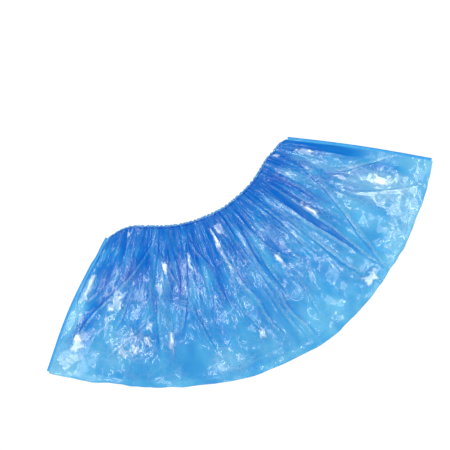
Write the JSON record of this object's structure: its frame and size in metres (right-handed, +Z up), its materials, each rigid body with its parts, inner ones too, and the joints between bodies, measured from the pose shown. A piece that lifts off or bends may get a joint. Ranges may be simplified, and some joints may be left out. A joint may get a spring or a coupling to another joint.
{
  "type": "disposable shoe cover",
  "caption": "Disposable overshoe of thin film, gathered round an elastic opening and welded at both ends, relaxed and lying on its side.",
  "frame": {"origin": "under the middle of the outline, on the surface that the overshoe lies on", "axes": "+X from the heel weld to the toe weld, +Y from the sole fold to the foot opening, +Z up from the surface"},
  "size_m": [0.3664, 0.1656, 0.0227],
  "materials": {
    "film": "glossy, translucent, crumpled",
    "weld": "glossy, fused",
    "elastic": "matt, fine thread"
  },
  "bodies": {
    "root": {"film_sheet": "film", "heel_weld": "weld", "toe_weld": "weld", "upper_elastic": "elastic", "lower_elastic": "elastic"}
  },
  "joints": []
}
